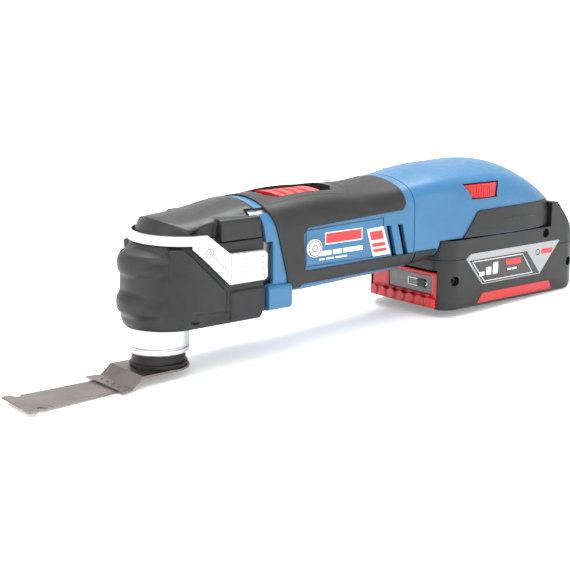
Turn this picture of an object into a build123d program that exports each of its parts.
from build123d import *

import os
from math import cos, hypot, pi, radians, sin, sqrt

# Cordless oscillating multi tool with a quick-change lever, a saw blade and a sliding battery pack.
# Frame: millimetres, +Z up. The origin is on the oscillation axis, at the tool holder's seat, where
# the accessory is clamped. +X runs back along the motor to the battery. The tool's left side is -Y.

# ---------------------------------------------------------------- driving dimensions
WALL = 2.6  # moulded housing wall
SEAM = 0.1  # half gap between the two housing halves
SKIN = 0.9  # how far the rubber overmould stands proud of the housing
AXIS_Z = 61.0  # motor axis above the tool holder's seat

# housing cross-sections: x, half width, bottom, top, top corner radius
BODY = [
    (50.0, 28.9, 29.5, 88.2, 14.0),
    (75.0, 29.5, 30.5, 89.4, 14.0),
    (115.0, 29.5, 31.5, 89.6, 14.0),
    (150.0, 29.8, 33.0, 90.1, 14.0),
    (172.0, 32.0, 35.0, 93.5, 15.0),
    (195.0, 36.0, 38.0, 96.8, 17.0),
    (225.0, 38.0, 37.0, 97.8, 18.0),
    (250.0, 38.0, 34.0, 95.4, 18.0),
    (270.0, 36.0, 31.0, 87.6, 17.0),
    (286.0, 31.5, 28.0, 77.6, 15.0),
    (298.0, 26.0, 25.0, 68.2, 11.0),
]
CROWN_RADIUS = 60.0
BOTTOM_CORNER = 12.0
SPLIT_X = 163.0  # seam between motor housing and rear housing
SPLIT_GAP = 0.5

# head
HEAD_BOTTOM = 22.5
GEAR_TOP = 70.6
FLANGE_SCREW_Z = (42.4, 78.5)
BAND_Z0, BAND_Z1 = 69.0, 74.2  # the lever's front band
NECK_R = 17.4
NECK_Z = (8.0, HEAD_BOTTOM)
HOLDER_R = 16.0
SPINDLE_R = 6.0
LEVER_PIVOT = (44.5, 54.0)  # x, z
LEVER_IN, LEVER_OUT = 28.3, 30.3  # the lever arms' inner and outer faces, from the middle
PAD_OUT = 31.3  # outer face of the lever's side pads
LEVER_NOSE = (14.0, 26.0)  # centre x and length of the band's elliptical nose
BAND_T = 2.2  # thickness of the band at the tip of the nose
PIN_R = 3.0
CAM_R, CAM_THROW, CAM_ANGLE = 4.6, 2.18, radians(35)  # cam on the lever pins; angle up from +X at rest
YOKE_Z = (73.6, 74.8)
SIDE_HW = 27.7  # head half width under the lever arms
CAP_INNER_HW = 20.4  # half width of the room for the yoke inside the cap
RIDGE_SWEEP = 74  # degrees that each finger ridge reaches round from the nose

# battery
BATT_X = (183.0, 310.6)
BATT_HW = 37.5
BATT_BOTTOM, BATT_SEAM, BATT_TOP = 8.0, 40.0, 52.3
BAY_Z = 53.0  # underside of the rear housing over the battery
HEEL_X, HEEL_TOP = 281.0, 68.4  # the battery's raised heel behind the housing
RAIL_HW, RAIL_TOP, RAIL_X = 24.0, 62.0, 199.0
BUTTON_TOP, BUTTON_RIBS = 31.6, 7
WINDOW_Z = (17.4, 29.0)

# motor
ECC = 0.6  # eccentric throw
FORK_GAP = 1.7  # room each side of the eccentric bearing in the fork
MOTOR_X, STATOR_R = (76.0, 116.0), 20.4

FAN_BLADES = 11

# controls
SLIDER_X = (74.0, 106.0)
RECESS_X = (64.0, 117.0)
RECESS_HW, WELL_Z = 18.0, 85.2  # half width and floor of the switch well
SLIDER_TOP = 89.2
LINK_Z = (81.4, 83.2)
BADGE = (86.0, 59.0, 5.2)  # x, z, radius
DIAL_X, DIAL_Y, DIAL_R = 217.0, -19.4, 20.0
DIAL_WINDOW_HW, DIAL_NOTCHES = 10.4, 72
TERMINAL_Y = (-18.0, -6.0, 6.0, 18.0)
DIAL_Z = (77.6, 85.4)

PARTS = {}


# ---------------------------------------------------------------- shared helpers
def box(x, y, z):
    """A box from three (low, high) pairs."""
    middle = Pos((x[0] + x[1]) / 2, (y[0] + y[1]) / 2, (z[0] + z[1]) / 2)
    return middle * Box(x[1] - x[0], y[1] - y[0], z[1] - z[0])


def rod_x(r, x, y=0.0, z=AXIS_Z):
    return Pos((x[0] + x[1]) / 2, y, z) * Rot(0, 90, 0) * Cylinder(r, x[1] - x[0])


def rod_y(r, y, x, z):
    return Pos(x, (y[0] + y[1]) / 2, z) * Rot(90, 0, 0) * Cylinder(r, y[1] - y[0])


def rod_z(r, z, x=0.0, y=0.0):
    return Pos(x, y, (z[0] + z[1]) / 2) * Cylinder(r, z[1] - z[0])


def span(sign, near, far):
    """The y range between two distances from the middle, on the side that sign gives."""
    return sorted((sign * near, sign * far))


def ring(x, z):
    """The four (x, z) corners of an upright rectangle."""
    return [(x[0], z[0]), (x[1], z[0]), (x[1], z[1]), (x[0], z[1])]


def side_prism(points, y):
    """An (x, z) outline extruded along Y between two values."""
    face = make_face(Polyline(*[(a, y[0], b) for a, b in points], close=True))
    return extrude(face, amount=y[1] - y[0], dir=(0, 1, 0))


def mirrored(shape):
    return mirror(shape, about=Plane.XZ)


def both_sides(shape):
    return Compound(children=[*shape.solids(), *mirrored(shape).solids()])


def keep(name, shape):
    solids = shape.solids()
    PARTS[name] = solids[0] if len(solids) == 1 else Compound(children=list(solids))


def largest(shape):
    return max(shape.solids(), key=lambda s: s.volume)


# ---------------------------------------------------------------- housing surfaces
def body_section(x, hw, bottom, top, corner, grow=0.0):
    """One closed cross-section: crowned top and bottom, flat sides, tangent corners."""
    hw, bottom, top = hw + grow, bottom - grow, top + grow
    points = {}
    for name, edge, sign, r in (
        ("top", top, 1, corner + grow),
        ("low", bottom, -1, BOTTOM_CORNER + grow),
    ):
        crown = CROWN_RADIUS + grow
        rise = sqrt((crown - r) ** 2 - (hw - r) ** 2)
        base = edge - sign * crown
        centre_z = base + sign * rise
        touch_y = (hw - r) * crown / (crown - r)
        touch_z = base + sign * rise * crown / (crown - r)
        mid_y = hw - r + r * sin(radians(50))
        mid_z = centre_z + sign * r * sqrt(1 - sin(radians(50)) ** 2)
        points[name] = (edge, centre_z, touch_y, touch_z, mid_y, mid_z)
    t, b = points["top"], points["low"]

    def at(y, z):
        return Vector(x, y, z)

    edges = [
        ThreePointArc(at(-t[2], t[3]), at(0, t[0]), at(t[2], t[3])),
        ThreePointArc(at(t[2], t[3]), at(t[4], t[5]), at(hw, t[1])),
        Line(at(hw, t[1]), at(hw, b[1])),
        ThreePointArc(at(hw, b[1]), at(b[4], b[5]), at(b[2], b[3])),
        ThreePointArc(at(b[2], b[3]), at(0, b[0]), at(-b[2], b[3])),
        ThreePointArc(at(-b[2], b[3]), at(-b[4], b[5]), at(-hw, b[1])),
        Line(at(-hw, b[1]), at(-hw, t[1])),
        ThreePointArc(at(-hw, t[1]), at(-t[4], t[5]), at(-t[2], t[3])),
    ]
    return make_face(edges)


def body_form(grow=0.0, front=0.0, back=0.0):
    """The smooth outer form of the whole housing, grown or shrunk by an even amount."""
    rows = [list(row) for row in BODY]
    rows[0][0] += front
    rows[-1][0] += back
    return loft([body_section(*row, grow=grow) for row in rows])


def head_outline(z, nose_x, nose_len, hw, back):
    """A D-shaped outline: half-elliptical nose, then straight sides back to x = back."""
    nose = EllipticalCenterArc((nose_x, 0), nose_len, hw, start_angle=90, arc_size=180)
    sides = Polyline(nose @ 1, (back, -hw), (back, hw), nose @ 0)
    return Pos(0, 0, z) * make_face([nose, *sides.edges()])


def head_prism(z, nose_x, nose_len, hw, back):
    return extrude(head_outline(z[0], nose_x, nose_len, hw, back), amount=z[1] - z[0])


OUTER = body_form()
INNER = body_form(-WALL, front=-1.0, back=-WALL)
BAY = box((BATT_X[0] - 1.0, 330), (-60, 60), (-5, BAY_Z))
BAY_INNER = box((BATT_X[0] - 1.0 - WALL, 330), (-60, 60), (-5, BAY_Z + WALL))
RAIL_SLOT = box((RAIL_X - 3.0, 330), (-RAIL_HW - 0.5, RAIL_HW + 0.5), (BAY_Z - 2, RAIL_TOP + 0.6))
RAIL_WALL = box(
    (RAIL_X - 3.0 - WALL, 330),
    (-RAIL_HW - 0.5 - WALL, RAIL_HW + 0.5 + WALL),
    (BAY_Z - 2, RAIL_TOP + 0.6 + WALL),
)
HEEL_BAY = box((HEEL_X - 0.4, 330), (-60, 60), (BAY_Z - 2, HEEL_TOP + 0.4))
HEEL_WALL = box((HEEL_X - 0.4 - WALL, 330), (-60, 60), (BAY_Z - 2, HEEL_TOP + 0.4 + WALL))


# ---------------------------------------------------------------- motor and rear housings
def half(shape, side):
    """The left (-Y) or right (+Y) half, with a hairline seam between them."""
    y = (-60, -SEAM) if side == "left" else (SEAM, 60)
    return shape & box((-50, 400), y, (-20, 120))


VENT_X = (143.5, 152.4)
# screw places: x, z, how far out the head's seat is
BOSSES_MOTOR = [(64.0, 34.5, 25.0), (141.0, 39.0, 20.0), (157.0, 82.4, 21.0)]
BOSSES_REAR = [(172.0, 52.6, 25.0), (190.0, 88.5, 23.0), (262.0, 84.0, 20.5)]
SCREW_HEAD_R, SCREW_SHANK_R = 3.4, 1.75


def boss_set(places, hw):
    return [rod_y(4.4, (-hw, hw), x, z) for x, z, _ in places]


def screw_cut(shape, places):
    """Screw holes through the bosses, with a counterbore in the right half."""
    for x, z, seat in places:
        shape -= rod_y(SCREW_SHANK_R, (-seat + 2, 60), x, z)
        shape -= rod_y(SCREW_HEAD_R + 0.2, (seat, 60), x, z)
    return shape


def motor_housing():
    """The two half shells around the motor, with vents, switch opening and a bracket foot in front."""
    notch = side_prism([(40, 42), (57.5, 42), (57.5, 66), (40, 66)], (-60, 60))
    front = [(30, 120), (49.5, 120), (49.5, 88), (53, 66), (56, 42), (53, 41), (53, 20), (30, 20)]
    nose = side_prism(front, (-60, 60))
    outer = OUTER & box((40, SPLIT_X), (-60, 60), (0, 120))
    foot = box((53.5, 69.5), (-30.9, 30.9), (27.0, 41.5))
    foot = fillet(foot.edges().filter_by(Axis.X), 3.0)
    shell = (outer + foot) - nose - notch
    cavity = (INNER & box((30, SPLIT_X + 5), (-60, 60), (0, 120))) + box((40, 72), (-25, 25), (38, 84))
    shell -= cavity
    for x in (80.0, 110.0):
        rib = INNER & box((x, x + 2.4), (-60, 60), (0, 120))
        shell += rib - rod_x(STATOR_R, (60, 130)) - box((60, 130), (-4.2, 4.2), (78, 100))
    shell += [b & outer for b in boss_set(BOSSES_MOTOR, 30.0)]
    shell -= side_prism(ring(RECESS_X, (80, 95)), (-RECESS_HW, RECESS_HW))
    for x in VENT_X:
        slot = [(x - 1.8, 66), (x + 1.8, 66), (x + 7.2, 44), (x + 3.6, 44)]
        shell -= side_prism(slot, (-60, 60))
    shell -= [panel_groove(s) for s in (-1, 1)]
    shell = screw_cut(shell, BOSSES_MOTOR)
    keep("motor_housing_left", largest(half(shell, "left")))
    keep("motor_housing_right", largest(half(shell, "right")))


def panel_groove(sign):
    """A shallow line round the name panel on one side."""
    outer = side_prism([(80, 48.5), (139.5, 48.5), (139.5, 71.6), (80, 70.2)], (28.9, 31))
    inner = side_prism([(80.8, 49.3), (138.7, 49.3), (138.7, 70.8), (80.8, 69.4)], (28, 32))
    groove = outer - inner
    return groove if sign > 0 else mirrored(groove)


def rear_housing():
    """The two half shells over the battery, with the battery rail slot and the speed dial's window."""
    outer = OUTER & box((SPLIT_X + SPLIT_GAP, 330), (-60, 60), (0, 120))
    solid = outer - BAY - RAIL_SLOT - HEEL_BAY
    cavity = INNER - BAY_INNER - RAIL_WALL - HEEL_WALL
    shell = solid - cavity
    shell += [b & solid for b in boss_set(BOSSES_REAR, 40.0)]
    shell -= rod_z(DIAL_R + 0.8, (DIAL_Z[0] - 0.8, DIAL_Z[1] + 0.8), DIAL_X, DIAL_Y)
    window_x = (DIAL_X - DIAL_WINDOW_HW, DIAL_X + DIAL_WINDOW_HW)
    shell -= box(window_x, (-45, -30), (DIAL_Z[0] - 0.8, DIAL_Z[1] + 0.8))
    shell -= box((HEEL_X - 12, HEEL_X - 4), (-9.5, 9.5), (HEEL_TOP, HEEL_TOP + 6))
    shell = screw_cut(shell, BOSSES_REAR)
    keep("rear_housing_left", largest(half(shell, "left")))
    keep("rear_housing_right", largest(half(shell, "right")))


def housing_screws():
    screws = []
    for x, z, seat in BOSSES_MOTOR + BOSSES_REAR:
        head = rod_y(SCREW_HEAD_R, (seat, seat + 2.8), x, z)
        head -= Pos(x, seat + 2.8, z) * Rot(90, 0, 0) * extrude(RegularPolygon(1.7, 6), amount=1.8)
        screws.append(head + rod_y(SCREW_SHANK_R, (-seat + 3, seat), x, z))
    keep("housing_screws", Compound(children=[s for g in screws for s in g.solids()]))


def overmould():
    """Rubber grip skins: over the top and down the front of each side, then back along the flank."""
    skin = body_form(SKIN, front=1.0, back=-1.0) - OUTER
    front_edge = [(56.5, 100), (56.5, 84), (61.5, 66), (67.0, 44), (68.0, 36.5)]
    lower_strip = [(78.0, 36.5), (79.0, 38.8), (162.8, 40.0), (162.8, 47.6), (79.5, 46.6)]
    top_edge = [(78.5, 68.0), (81.5, 71.2), (153.5, 74.6), (156.5, 78.0), (156.5, 100)]
    skin = skin & side_prism(front_edge + lower_strip + top_edge, (-60, 60))
    bezel_x = (RECESS_X[0] - 3, RECESS_X[1] + 3)
    skin -= side_prism(ring(bezel_x, (80, 95)), (-RECESS_HW - 2.5, RECESS_HW + 2.5))
    skin -= box((50, 69.6), (-40, 40), (20, 41.6))
    for side in ("left", "right"):
        keep(f"grip_overmould_{side}", largest(half(skin, side)))


def rear_rubber():
    """Black rubber on the rear housing: the ends of the grip strips and the skirts over the battery rail."""
    skin = body_form(SKIN, back=-1.0) - OUTER
    strip = side_prism([(164.0, 39.9), (176.0, 40.2), (180.5, 47.9), (164.0, 47.7)], (-60, 60))
    skirt_outline = [(199.5, 53.4), (210.5, 68.6), (213.0, 69.6), (280.2, 70.4), (280.2, 53.4)]
    skirt = side_prism(skirt_outline, (-60, 60))
    keep("rear_rubber", Compound(children=[*(skin & strip).solids(), *(skin & skirt).solids()]))


def octagon(x, hw, cut_x, cut_y):
    """A rectangle in plan with its four corners cut off."""
    a, b = x
    return make_face(
        Polyline(
            (a, cut_y - hw), (a + cut_x, -hw), (b - cut_x, -hw), (b, cut_y - hw),
            (b, hw - cut_y), (b - cut_x, hw), (a + cut_x, hw), (a, hw - cut_y), close=True,
        )
    )


def switch_bezel():
    """The frame round the on/off slider."""
    x, hw = RECESS_X, RECESS_HW
    top = body_form(SKIN) & box((x[0] - 2.8, x[1] + 2.8), (-hw - 2.3, hw + 2.3), (85.4, 95))
    top -= OUTER & box((0, 200), (-40, 40), (0, 100))
    well = box((x[0] + 0.2, x[1] - 0.2), (-hw + 0.2, hw - 0.2), (WELL_Z - 1.6, 92))
    well = well & body_form(SKIN)
    opening = extrude(Pos(0, 0, WELL_Z) * octagon((x[0] + 2.2, x[1] - 2.2), 15.5, 5.0, 6.5), amount=20)
    slot = box((80.0, 99.0), (-4.0, 4.0), (80, 90))
    keep("switch_bezel", (top + well) - opening - slot)


def switch_slider():
    """The red on/off slider, with slanting finger ribs, and the link that works the switch."""
    base = WELL_Z + 0.3
    crown = rod_x(CROWN_RADIUS, (0, 200), z=SLIDER_TOP - CROWN_RADIUS)
    slider = extrude(Pos(0, 0, base) * octagon(SLIDER_X, 14.0, 3.0, 4.0), amount=8) & crown
    for x in (79.0, 87.0, 95.0):
        rib = [(x, base + 2.3), (x + 1.5, base + 1.1), (x + 5.0, base + 4.7), (x, base + 6.8)]
        slider -= side_prism(rib, (-20, 20))
    slider += box((86.0, 98.0), (-3.4, 3.4), (LINK_Z[1], base + 0.5))
    keep("switch_slider", slider)
    keep("switch_link", box((88.0, 143.0), (-2.6, 2.6), LINK_Z))


# ---------------------------------------------------------------- head
def gear_housing():
    """Cast housing around spindle and fork, with bearing seats and the flange to the motor housing."""
    body = head_prism((HEAD_BOTTOM + 2.0, 64.0), 9.0, 20.2, 23.5, 52.0)
    body += head_prism((64.0, 68.4), 12.0, 21.8, 23.5, 52.0)
    body += head_prism((68.4, GEAR_TOP), 14.0, 18.4, 22.0, 52.0)
    flange = box((46.0, 60.0), (-24.2, 24.2), (39.0, 83.5))
    flange = fillet(flange.edges().filter_by(Axis.X), 7.0)
    body += flange
    body += rod_x(14.5, (60.0, 70.0))
    body += rod_z(15.4, (NECK_Z[0] + 3.0, HEAD_BOTTOM + 3))
    body -= head_prism((30.0, 63.8), 9.0, 18.3, 19.6, 47.5)
    body -= box((5.0, 47.5), (-19.6, 19.6), (60.0, 68.2)) - rod_z(10.4, (64.0, 70.0))
    body -= box((28.0, 41.0), (-9.5, 9.5), (60.0, 70.0))
    body -= rod_z(13.0, (5.0, 20.5))  # lower bearing seat
    body -= rod_z(9.5, (18.0, 31.0))
    body -= rod_z(8.0, (63.0, 68.2))  # upper bearing seat
    body -= rod_z(5.6, (63.0, 80.0))
    body -= rod_x(11.0, (61.5, 75.0))  # front motor bearing seat
    body -= rod_x(8.0, (40.0, 64.0))
    for s in (-1, 1):
        body -= rod_y(PIN_R + 0.35, span(s, 18.0, 26.0), *LEVER_PIVOT)
        body -= box((33.0, 39.0), span(s, 15.8, 19.4), (66.0, 80.0))
        body -= box((45.0, 51.8), span(s, 15.6, 19.6), (45.2, 62.0))
        for z in FLANGE_SCREW_Z:
            body -= rod_x(1.5, (50.0, 61.0), s * 19.5, z)
    keep("gear_housing", largest(body))
    screws = []
    for s in (-1, 1):
        for z in FLANGE_SCREW_Z:
            shank = rod_x(1.5, (50.5, 60.2), s * 19.5, z)
            screws += (shank + rod_x(2.9, (60.0, 62.6), s * 19.5, z)).solids()
    keep("gear_housing_screws", Compound(children=screws))


def neck_collar():
    """The bright collar round the spindle neck, where guides and extraction attachments clamp."""
    lip = [(16.6, 8.0), (17.2, 8.8), (17.2, 10.6), (16.7, 11.0), (16.7, 11.6), (17.2, 12.0)]
    profile = Polyline(
        (15.4, 8.0), *lip, (NECK_R, 12.4), (NECK_R, HEAD_BOTTOM), (15.4, HEAD_BOTTOM), close=True
    )
    keep("neck_collar", revolve(Plane.XZ * make_face(profile), axis=Axis.Z))


def finger_ridge(z, reach, thick):
    """A rounded rubber bulge round the nose, which tapers away above and below."""
    profile = Polyline(
        (18, z - thick), (reach - 2.4, z - thick * 0.62), (reach - 0.3, z - 3.2), (reach, z),
        (reach - 0.3, z + 3.2), (reach - 2.2, z + thick * 0.7), (18, z + thick), close=True,
    )
    turned = revolve(Plane.XZ * make_face(profile), axis=Axis.Z, revolution_arc=2 * RIDGE_SWEEP)
    return Pos(5.0, 0, 0) * Rot(0, 0, 180 - RIDGE_SWEEP) * turned


def head_boot():
    """Rubber boot over the gear housing, with two finger ridges round the nose and a shield each side."""
    levels = [
        (HEAD_BOTTOM, 5.0, 22.6, 24.0),
        (25.5, 5.0, 23.6, 26.2),
        (31.0, 5.0, 23.8, SIDE_HW),
        (52.0, 7.0, 25.6, SIDE_HW),
        (BAND_Z0 - 0.4, 14.0, 25.4, SIDE_HW),
    ]
    skins = [head_outline(z, nx, nl, hw, 52.4) for z, nx, nl, hw in levels]
    boot = loft(skins, ruled=True)
    for z, reach in ((35.0, 26.8), (56.5, 25.8)):
        boot += finger_ridge(z, reach, 9.4)
    shield = [(-6.0, 29.0), (3.0, 25.5), (24.5, 27.0), (26.5, 42.0), (0.5, 67.2), (-6.0, 67.2)]
    for s in (-1, 1):
        plate = side_prism(shield, span(s, 20.0, 29.2))
        boot += plate & head_prism((20, 68.4), 8.0, 25.0, 29.2, 60)
    top = [(24.0, 64.6), (24.0, 68.6), (52.2, 68.6), (52.2, 64.6)]
    low = [(29.0, 25.0), (29.0, 41.2), (52.6, 41.2), (52.6, 27.6), (40.0, 26.0)]
    boot += side_prism(top, (-SIDE_HW, SIDE_HW))
    boot += side_prism(low, (-29.2, 29.2))
    boot -= box((44.0, 80), (-24.6, 24.6), (38.6, 90))
    boot -= head_prism((HEAD_BOTTOM + 2.0, 64.0), 9.0, 20.2, 23.5, 52.2)
    boot -= head_prism((64.0, 70.0), 12.0, 21.8, 23.5, 52.2)
    boot -= rod_z(15.5, (0, 40))
    for s in (-1, 1):
        boot -= rod_y(PIN_R + 0.4, span(s, 20.0, 32.0), *LEVER_PIVOT)
        boot -= side_prism([(3.0, 27.2), (27.6, 24.0), (28.4, 30.4), (6.0, 32.0)], span(s, 26.4, 32.0))
    boot -= box((22.0, 30.0), (-4.6, 4.6), (20, 24.5))
    keep("head_boot", largest(boot))


def cap_form(hw, corner, drop):
    """The cap's crowned top, falling towards the nose; drop lowers it for the inside."""
    crown = ((-14, 79.6), (8, 82.8), (23, 84.4), (36, 86.6), (56, 88.7))
    return loft([body_section(x, hw, 20.0, top - drop, corner) for x, top in crown])


def swing_room(gap):
    """The turned form inside the path of the lever's band, about the pivot pins."""
    nose_x, nose_len = LEVER_NOSE[0], LEVER_NOSE[1] - BAND_T
    edge = []
    for degrees in range(-80, 81, 16):
        x = nose_x - nose_len * cos(radians(degrees))
        reach = hypot(LEVER_PIVOT[0] - x, BAND_Z0 - LEVER_PIVOT[1]) - gap
        edge.append((-reach, LEVER_IN * sin(radians(degrees))))
    curve = Spline(*edge)
    rim = Polyline(curve @ 1, (0, edge[-1][1]), (0, edge[0][1]), curve @ 0)
    face = Pos(LEVER_PIVOT[0], 0, LEVER_PIVOT[1]) * make_face([curve, *rim.edges()])
    return revolve(face, axis=Axis((LEVER_PIVOT[0], 0, LEVER_PIVOT[1]), (0, 1, 0)))


def head_cap():
    """Dark top cover over the release yoke, with shoulders that run back to the motor housing."""
    plan = head_prism((68.8, 95.0), 14.0, 21.8, SIDE_HW, 55.0)
    cap = plan & cap_form(29.0, 17.0, 0.0) & swing_room(0.5)
    shoulder = box((24.0, 55.0), (-SIDE_HW, SIDE_HW), (68.8, 81.0))
    shoulder = fillet(shoulder.edges().filter_by(Axis.X).group_by(Axis.Z)[-1], 3.0)
    cap += shoulder
    hollow = head_prism((60.0, 79.8), 14.0, 18.8, CAP_INNER_HW, 60.0)
    cap -= hollow & cap_form(27.0, 15.0, 2.6)
    cap -= head_prism((60.0, GEAR_TOP + 0.4), 14.0, 18.8, 22.4, 60.0)
    cap -= box((44, 60), (-24.6, 24.6), (60, 83.9))
    cap -= side_prism([(49.2, 120), (49.2, 88), (52.6, 66), (60, 60), (60, 120)], (-60, 60))
    pocket = [(5.0, 74.8), (13.4, 66.0), (23.8, 66.0), (23.8, 80.4), (16.0, 77.6)]
    for s in (-1, 1):
        cap -= side_prism(pocket, span(s, CAP_INNER_HW + 2.2, 40.0))
    keep("head_cap", largest(cap))


def clamp_lever():
    """The bright bail: a band round the nose, slanting arms and ribbed side pads on the pivots."""
    x0, nose = LEVER_NOSE
    outer = head_prism((40, 80), x0, nose, LEVER_OUT, 60)
    inner = head_prism((39, 81), x0, nose - BAND_T, LEVER_IN, 61)
    pad_rear = [(50.4, 45.6), (52.4, 47.4), (52.4, 60.6), (50.4, 62.4)]
    lower_edge = [(-30, BAND_Z0), (3.0, BAND_Z0), (27.2, 45.6)]
    upper_edge = [(27.6, 62.9), (13.2, BAND_Z1), (-30, BAND_Z1)]
    bail = (outer - inner) & side_prism(lower_edge + pad_rear + upper_edge, (-60, 60))
    bail -= box((-30, 60), (-LEVER_IN, LEVER_IN), (40, BAND_Z0))
    for s in (-1, 1):
        plate = side_prism([(27.8, 45.6), *pad_rear, (28.2, 62.8)], span(s, LEVER_OUT - 0.5, PAD_OUT))
        plate = chamfer(plate.faces().sort_by(Axis.Y)[0 if s < 0 else -1].edges(), 0.5)
        bail += plate
        bail -= rod_y(PIN_R, span(s, 20.0, LEVER_OUT - 0.6), *LEVER_PIVOT)
        for k in range(4):
            z = 49.2 + 3.4 * k
            bail -= side_prism(ring((33.0, 49.6), (z - 0.5, z + 0.5)), span(s, PAD_OUT - 0.5, 40.0))
    keep("clamp_lever", largest(bail))
    lift_x = LEVER_PIVOT[0] + CAM_THROW * cos(CAM_ANGLE)
    lift_z = LEVER_PIVOT[1] + CAM_THROW * sin(CAM_ANGLE)
    pins = []
    for s in (-1, 1):
        pin = rod_y(PIN_R, span(s, 16.4, LEVER_OUT - 0.6), *LEVER_PIVOT)
        cam = rod_y(CAM_R, span(s, 16.2, 19.0), lift_x, lift_z)
        pins += (pin + cam).solids()
    keep("lever_cam_pins", Compound(children=pins))


def release_yoke():
    """Stamped yoke under the lever's cams; opening the lever draws it and the clamping rod down."""
    foot = LEVER_PIVOT[1] + CAM_THROW * sin(CAM_ANGLE) - CAM_R - 0.4
    yoke = box((-10.0, 38.0), (-18.8, 18.8), YOKE_Z) & head_prism((70, 80), 14.0, 18.0, 19.6, 60)
    yoke -= box((14, 50), (-16.2, 16.2), (70, 90))
    for s in (-1, 1):
        y = span(s, 16.4, 18.8)
        yoke += box((34.0, 38.0), y, (foot - 1.8, YOKE_Z[1])) + box((34.0, 49.0), y, (foot - 1.8, foot))
    keep("release_yoke", yoke)


# ---------------------------------------------------------------- spindle and clamping
def spindle():
    """Hollow output spindle with the fork, its bearings, the seal and the holder."""
    shaft = rod_z(SPINDLE_R, (6.0, 63.6)) + rod_z(5.0, (63.6, 68.8)) + rod_z(9.0, (20.4, 23.0))
    shaft = shaft - rod_z(3.4, (0, 90)) - rod_z(5.0, (0, 48.0))
    shaft += rod_z(5.0, (24.0, 26.0)) - rod_z(2.4, (20, 30))
    keep("output_spindle", shaft)
    hub = rod_z(8.8, (51.0, 63.4))
    arm_in = 8.0 + FORK_GAP
    arms = box((6.0, 38.5), (-arm_in - 4.2, arm_in + 4.2), (55.0, 67.0))
    arms -= box((14.0, 50), (-arm_in, arm_in), (50, 70))
    arms -= box((0, 13.0), (-20, 20), (63.4, 70))
    keep("oscillating_fork", (hub + arms) - rod_z(SPINDLE_R, (40, 80)))
    keep("lower_spindle_bearing", rod_z(13.0, (13.0, 20.4)) - rod_z(SPINDLE_R, (0, 40)))
    keep("upper_spindle_bearing", rod_z(8.0, (64.0, 68.2)) - rod_z(5.0, (60, 90)))
    keep("dust_seal", rod_z(13.0, (11.0, 13.0)) - rod_z(SPINDLE_R + 1.0, (0, 40)))
    rim = [(14.6, 8.6), (15.0, 7.2), (15.0, 3.0), (HOLDER_R, 2.2), (HOLDER_R, 0.0)]
    profile = Polyline((SPINDLE_R, 8.6), *rim, (SPINDLE_R, 0.0), close=True)
    holder = revolve(Plane.XZ * make_face(profile), axis=Axis.Z)
    holder += rod_z(7.4, (0, 6.0)) - rod_z(5.2, (-1, 9))
    keep("tool_holder", largest(holder - star_cup(0.15) - rod_z(5.2, (-1, 6.0))))


def star_cup(grow=0.0):
    """The twelve-pointed raised cup that carries the drive, wider at its foot than at its crown."""
    def star(z, tip, root):
        pts = []
        for k in range(24):
            r = (tip if k % 2 == 0 else root) + grow
            pts.append((r * cos(k * pi / 12), r * sin(k * pi / 12)))
        return Pos(0, 0, z) * make_face(Polyline(*pts, close=True))
    return loft([star(0.0, 13.2, 11.4), star(4.6 + grow, 11.2, 9.4)], ruled=True)


def clamping():
    """Clamping rod with its spring, and two jaws that hook under the accessory's cup."""
    rod = rod_z(2.0, (8.0, YOKE_Z[0])) + rod_z(4.5, (46.2, 47.6)) + rod_z(4.4, (8.0, 10.5))
    keep("clamping_rod", rod)
    turns, span = 7, 18.6
    helix = Helix(pitch=span / turns, height=span, radius=3.6)
    profile = Plane(helix @ 0, z_dir=helix % 0) * Circle(0.55)
    keep("clamping_spring", Pos(0, 0, 26.75) * sweep(profile, helix))
    jaw = rod_z(4.2, (1.9, 7.85)) + rod_z(5.4, (1.9, 3.2))
    jaw = largest(jaw - box((-2.1, 20), (-10, 10), (-10, 20)))
    keep("clamp_jaw_front", jaw)
    keep("clamp_jaw_rear", mirror(jaw, about=Plane.YZ))


# ---------------------------------------------------------------- saw blade
PLATE_T, BLADE_T = 1.2, 0.9
CRANK_DROP = 5.4  # how far the crank sets the blade below the seat
BLADE_TIP_X = -87.0
BLADE_HW, TOOTH_PITCH, TEETH = 13.0, 1.3, 25


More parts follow.
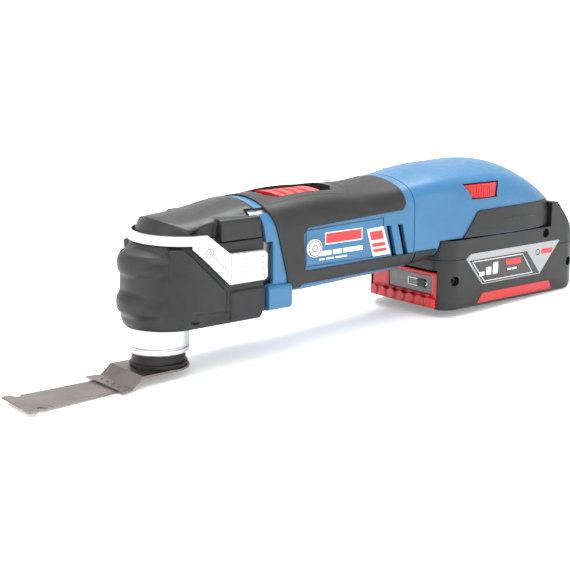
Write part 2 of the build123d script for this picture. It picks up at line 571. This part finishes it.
def saw_blade():
    """The accessory: cranked mounting plate with its star cup, and the thin saw blade welded under it."""
    t = PLATE_T
    cup = star_cup() - (Pos(0, 0, -0.05) * star_cup(-1.15))
    disc = rod_z(17.0, (-t, 0)) - (Pos(0, 0, -t) * star_cup(-0.9))
    disc += cup & box((-30, 30), (-30, 30), (0, 10))
    lug = make_face(Polyline((-4, -16.6), (-20.6, -17.0), (-20.6, 17.0), (-4, 16.6), close=True))
    tongue = extrude(lug, amount=-t) - rod_z(16.0, (-5, 1))
    over = [(-20.5, 0.0), (-27.0, -CRANK_DROP), (-34.8, -CRANK_DROP)]
    under = [(-34.8, -CRANK_DROP - t), (-27.4, -CRANK_DROP - t), (-21.0, -t), (-20.5, -t)]
    left_edge = [(-20.4, -17.0), (-27.0, -17.2), (-35, -19.6)]
    right_edge = [(-35, 19.6), (-27.0, 17.2), (-20.4, 17.0)]
    flare = make_face(Polyline(*left_edge, *right_edge, close=True))
    crank = side_prism(over + under, (-25, 25)) & (Pos(0, 0, -10) * extrude(flare, amount=20))
    plate = disc + tongue + crank - rod_z(4.6, (-5, 12))
    plate += [Pos(-31.0, y, 0.2 - CRANK_DROP) * Cylinder(0.9, 0.5) for y in (-9, -3, 3, 9)]
    keep("blade_mount", largest(plate))
    x = BLADE_TIP_X
    teeth = []
    for k in range(TEETH):
        y = TOOTH_PITCH * (k - TEETH / 2)
        teeth += [(x + 0.9, y), (x, y + TOOTH_PITCH / 2)]
    teeth.append((x + 0.9, TOOTH_PITCH * TEETH / 2))
    waist = [(x + 4.4, 16.4), (x + 6.6, 12.4), (x + 8.6, 11.2), (x + 10.2, 14.4), (x + 12.0, BLADE_HW)]
    root = [(-26.0, BLADE_HW), (-26.0, -BLADE_HW)]
    other_waist = [(a, -b) for a, b in reversed(waist)]
    outline = make_face(Polyline(*teeth, *waist, *root, *other_waist, close=True))
    keep("saw_blade", Pos(0, 0, -CRANK_DROP - t - BLADE_T) * extrude(outline, amount=BLADE_T))


# ---------------------------------------------------------------- motor
def motor():
    """Brushless motor: stator, rotor, shaft with its eccentric, balance weight, fan and bearings."""
    x0, x1 = MOTOR_X
    slots = [Rot(60 * k, 0, 0) * Pos(0, 0, 15.2) for k in range(6)]
    centre = Pos((x0 + x1) / 2, 0, AXIS_Z)
    stator = rod_x(STATOR_R, (x0, x1)) - rod_x(12.2, (x0 - 1, x1 + 1))
    for slot in slots:
        stator -= centre * slot * Box(x1 - x0 + 2, 4.6, 4.2)
    keep("motor_stator", stator)
    coils = [centre * slot * Box(x1 - x0 + 5, 4.6, 4.2) for slot in slots]
    keep("stator_windings", Compound(children=[s for c in coils for s in c.solids()]))
    keep("rotor_core", rod_x(11.6, (x0 + 1, x1 - 1)) - rod_x(4.0, (x0 - 5, x1 + 5)))
    keep("motor_shaft", rod_x(4.0, (42.0, 131.0)) + rod_x(4.0, (30.0, 42.0), 0.0, AXIS_Z + ECC))
    race = rod_x(8.0, (31.0, 37.0), 0.0, AXIS_Z + ECC)
    keep("eccentric_bearing", race - rod_x(4.0, (20, 50), 0.0, AXIS_Z + ECC))
    weight = rod_x(7.4, (42.5, 47.5)) & box((40, 50), (-10, 10), (40, AXIS_Z + 1))
    weight += rod_x(6.0, (42.5, 47.5))
    keep("balance_weight", weight - rod_x(4.0, (40, 50)))
    keep("front_motor_bearing", rod_x(11.0, (61.5, 68.5)) - rod_x(4.0, (50, 80)))
    keep("rear_motor_bearing", rod_x(8.0, (126.0, 131.0)) - rod_x(4.0, (110, 140)))
    holder = rod_x(STATOR_R, (127.0, 135.0)) - rod_x(8.0, (120.0, 131.0)) - rod_x(5, (100, 140))
    for k in range(3):
        holder -= Pos(131, 0, AXIS_Z) * Rot(120 * k, 0, 0) * Pos(0, 0, 14.4) * Box(20, 13, 7)
    keep("rear_bearing_bracket", holder)
    fan = rod_x(7.0, (119.5, 125.0)) + rod_x(19.8, (119.5, 120.7))
    blade = Pos(0, 0, 12.6) * Rot(0, 0, 24) * Box(4.0, 1.2, 13.6)
    for k in range(FAN_BLADES):
        fan += Pos(122.6, 0, AXIS_Z) * Rot(360 / FAN_BLADES * k, 0, 0) * blade
    keep("cooling_fan", fan - rod_x(4.0, (100, 140)))


# ---------------------------------------------------------------- electronics and controls
def electronics():
    """Switch, control board, battery terminals, speed dial and work light."""
    body = box((137.8, 151.6), (-9.0, 9.0), (62.0, 79.6)) + box((139.0, 146.0), (-2.0, 2.0), (79.6, 80.6))
    keep("switch_module", body)
    board = box((198.0, 262.0), (-24.0, 24.0), (67.4, 69.0))
    board += rod_z(6.0, (69.0, 72.0), DIAL_X, DIAL_Y) + rod_z(3.0, (72.0, 87.0), DIAL_X, DIAL_Y)
    keep("control_board", board)
    fins = box((226.0, 260.0), (-20.0, 20.0), (69.0, 71.0))
    for k in range(8):
        fins += box((226.0, 260.0), (-19.0 + 5.2 * k, -17.4 + 5.2 * k), (71.0, 76.0))
    keep("heat_sink", fins)
    block = box((RAIL_X - 2.9, RAIL_X + 1.0), (-22.0, 22.0), (53.4, 61.8))
    keep("terminal_block", block)
    tabs = [box((RAIL_X + 1.0, RAIL_X + 15.0), (y - 0.4, y + 0.4), (55.0, 60.4)) for y in TERMINAL_Y]
    keep("terminal_tabs", Compound(children=[s for t in tabs for s in t.solids()]))
    dial = rod_z(DIAL_R, DIAL_Z, DIAL_X, DIAL_Y) - rod_z(3.35, (70, 90), DIAL_X, DIAL_Y)
    axle = Pos(DIAL_X, DIAL_Y, sum(DIAL_Z) / 2)
    for k in range(DIAL_NOTCHES):
        dial -= axle * Rot(0, 0, 360 * k / DIAL_NOTCHES) * Pos(DIAL_R + 0.1, 0, 0) * Box(1.0, 0.7, 12)
    keep("speed_dial", dial)
    keep("work_light", box((22.2, 29.8), (-4.4, 4.4), (HEAD_BOTTOM + 0.3, 24.5)))


def side_badges():
    """A blank status plate and a blank round badge on each flank."""
    plate = side_prism([(131.2, 48.9), (126.1, 65.6), (138.7, 66.1), (144.8, 49.1)], (28.5, 31.0))
    plate = plate & (body_form(0.35) - OUTER)
    badge = rod_y(BADGE[2], (28.5, 32.0), BADGE[0], BADGE[1])
    badge = badge & (body_form(1.25, front=1.0, back=-1.0) - OUTER)
    keep("side_badges", both_sides(largest(plate) + largest(badge)))


# ---------------------------------------------------------------- battery pack
def battery_form():
    """Outer form of the battery pack: side profile and plan outline, both with round ends."""
    x0, x1 = BATT_X
    front = [(x0 + 3, BATT_BOTTOM), (x0, BATT_BOTTOM + 3), (x0, BATT_TOP), (HEEL_X, BATT_TOP)]
    side = Plane.XZ * make_face(
        [
            *Polyline(*front, (HEEL_X, HEEL_TOP), (HEEL_X + 5, HEEL_TOP)).edges(),
            ThreePointArc((HEEL_X + 5, HEEL_TOP), (x1 - 7.0, 45.0), (x1, 24.0)),
            ThreePointArc((x1, 24.0), (x1 - 3.4, 12.6), (x1 - 14.0, BATT_BOTTOM)),
            Line((x1 - 14.0, BATT_BOTTOM), (x0 + 3, BATT_BOTTOM)),
        ]
    )
    plan = Pos((x0 + x1) / 2, 0, 0) * RectangleRounded(x1 - x0, 2 * BATT_HW, 13.0)
    form = extrude(side, amount=60, both=True) & extrude(plan, amount=100)
    return fillet([e for e in form.edges() if e.bounding_box().max.Z < BATT_BOTTOM + 0.2], 2.6)


def battery():
    """Case halves, heel, rail, cells, board, labels, side strips and screws."""
    form = battery_form()
    core = box((BATT_X[0] + 16.4, 301), (-BATT_HW + 3, BATT_HW - 3), (BATT_BOTTOM + 3, BATT_TOP - 2.6))
    core = fillet(core.edges().filter_by(Axis.Z), 6.0)
    core += box((BATT_X[0] + 4, BATT_X[0] + 18), (-27.0, 27.0), (37.0, BATT_TOP - 2.6))
    core += box((HEEL_X + 3, 292), (-30.0, 30.0), (BATT_TOP - 3, 62.0))
    pocket = box((150, BATT_X[0] + 14.0), (-30.0, 30.0), (BATT_BOTTOM + 1.0, 33.4))
    lower = (form & box((100, 400), (-60, 60), (0, BATT_SEAM - 0.15))) - core - pocket
    upper = (form & box((100, 400), (-60, 60), (BATT_SEAM + 0.15, 100))) - core
    rail = box((RAIL_X + 2.0, HEEL_X + 1), (-RAIL_HW, RAIL_HW), (BATT_TOP - 1, RAIL_TOP))
    for y in TERMINAL_Y:
        rail -= box((RAIL_X, RAIL_X + 22.0), (y - 1.2, y + 1.2), (54.2, RAIL_TOP + 1))
    upper += rail
    for s in (-1, 1):
        upper -= box((RAIL_X, HEEL_X - 2), span(s, 20.6, 30.0), (55.2, 58.8))
    seat = BATT_HW - 5.0
    screws = []
    for x, z in ((193.0, 26.8), (276.0, 48.4), (300.0, 27.0)):
        for s in (-1, 1):
            recess = rod_y(3.0, span(s, seat, 50.0), x, z)
            lower -= recess
            upper -= recess
            socket = Rot(90, 0, 0) * extrude(RegularPolygon(1.4, 6), amount=0.7, both=True)
            head = rod_y(2.7, span(s, seat, seat + 1.8), x, z)
            screws += (head - Pos(x, s * (seat + 1.1), z) * socket).solids()
    label_edge = [(202.0, 39.6), (217.0, 22.0), (271.5, 22.0), (290.0, 42.3), (288.4, 42.6), (206.0, 42.6)]
    label = side_prism(label_edge, (BATT_HW - 0.6, 50))
    strip = side_prism([(212.6, 10.4), (217.4, 16.4), (280.4, 16.4), (283.2, 10.4)], (BATT_HW - 0.6, 50))
    for piece in (label, strip):
        lower -= both_sides(piece)
        upper -= both_sides(piece)
    keep("battery_lower_case", largest(lower))
    keep("battery_upper_case", largest(upper))
    flush = box((190, 300), (BATT_HW - 0.55, BATT_HW - 0.05), (0, 60))
    keep("battery_labels", both_sides(largest(label & flush)))
    proud = box((190, 300), (BATT_HW - 0.55, BATT_HW + 0.25), (0, 60))
    keep("battery_side_strips", both_sides(largest(strip & proud)))
    keep("battery_screws", Compound(children=screws))
    cells = []
    for row in range(2):
        for k in range(5):
            cells += rod_y(9.1, (-31.4, 31.4), 209.6 + 18.7 * k, BATT_BOTTOM + 12.6 + 18.8 * row).solids()
    keep("battery_cells", Compound(children=cells))
    keep("battery_board", box((203.0, 288.0), (-28.0, 28.0), (48.5, 49.7)))


def release_button():
    """The red release button across the battery's front, with its springs and the charge display."""
    x0 = BATT_X[0]
    low = BATT_BOTTOM + 1.4
    button = box((x0 + 1.6, x0 + 6.0), (-29.4, 29.4), (low + 2.4, BUTTON_TOP))
    button += box((x0 - 0.6, x0 + 8.0), (-29.4, 29.4), (low, low + 6.0))
    for k in range(BUTTON_RIBS):
        rib = rod_x(3.3, (x0 - 1.6, x0 + 6.0), -25.2 + 8.4 * k, low + 3.8)
        button += rib & box((150, 250), (-60, 60), (low, 60))
    button -= box((x0 - 5, x0 + 3.8), (-25.0, 14.0), WINDOW_Z)
    keep("release_button", button)
    springs = []
    for y in (-18.0, 18.0):
        helix = Helix(pitch=1.3, height=6.4, radius=2.6)
        wire = sweep(Plane(helix @ 0, z_dir=helix % 0) * Circle(0.35), helix)
        springs += (Pos(x0 + 6.7, y, 25.0) * Rot(0, 90, 0) * wire).solids()
    keep("button_springs", Compound(children=springs))
    z0, z1 = WINDOW_Z
    window = box((x0 + 2.4, x0 + 3.8), (-24.8, 13.8), (z0 + 0.2, z1 - 0.2))
    window -= box((x0, x0 + 3.3), (-19.4, -12.0), (z0 + 3.2, z1 - 3.0))
    keep("charge_window", window)
    keep("charge_button", box((x0 + 1.6, x0 + 2.7), (-19.0, -12.4), (z0 + 3.6, z1 - 3.4)))


def build():
    motor_housing()
    rear_housing()
    housing_screws()
    overmould()
    rear_rubber()
    switch_bezel()
    switch_slider()
    gear_housing()
    neck_collar()
    head_boot()
    head_cap()
    clamp_lever()
    release_yoke()
    spindle()
    clamping()
    saw_blade()
    motor()
    electronics()
    side_badges()
    battery()
    release_button()
    os.makedirs("parts", exist_ok=True)
    for name, shape in PARTS.items():
        export_step(shape, f"parts/{name}.step")


build()
